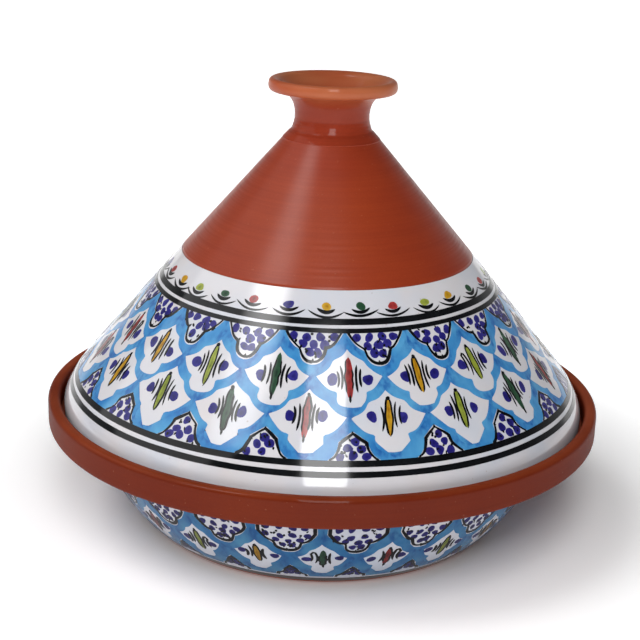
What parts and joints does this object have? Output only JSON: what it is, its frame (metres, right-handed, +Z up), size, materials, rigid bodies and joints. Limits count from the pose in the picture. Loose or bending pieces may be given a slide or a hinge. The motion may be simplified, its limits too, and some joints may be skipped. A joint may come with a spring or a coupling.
{
  "type": "tagine pot",
  "caption": "Round terracotta cooking dish with a raised rim and a lift-off conical lid topped by a funnel-shaped knob, both banded with hand-painted blue lattice glaze.",
  "frame": {"origin": "centre of the foot ring's underside, on the turning axis", "axes": "+Z up along the turning axis, from the dish to the knob; the pot is round, so +X and +Y are alike"},
  "size_m": [0.3, 0.3, 0.2432],
  "materials": {
    "terracotta": "bare red earthenware, satin, with fine throwing lines",
    "painted_glaze": "glossy white glaze painted in turquoise blue lattice, cobalt dots, black lines and coloured strokes",
    "clear_glaze": "glossy clear glaze over red earthenware"
  },
  "bodies": {
    "dish": {"dish_body": "terracotta", "dish_painted_glaze": "painted_glaze", "rim_clear_glaze": "clear_glaze", "dish_inner_glaze": "clear_glaze"},
    "lid": {"lid_cone": "terracotta", "lid_painted_glaze": "painted_glaze", "lid_inner_glaze": "clear_glaze", "lid_knob": "terracotta"}
  },
  "joints": [
    {"name": "lid_lift", "type": "slide", "parent": "dish", "child": "lid", "axis": [0, 0, 1], "range_m": [0, 0.15]}
  ]
}
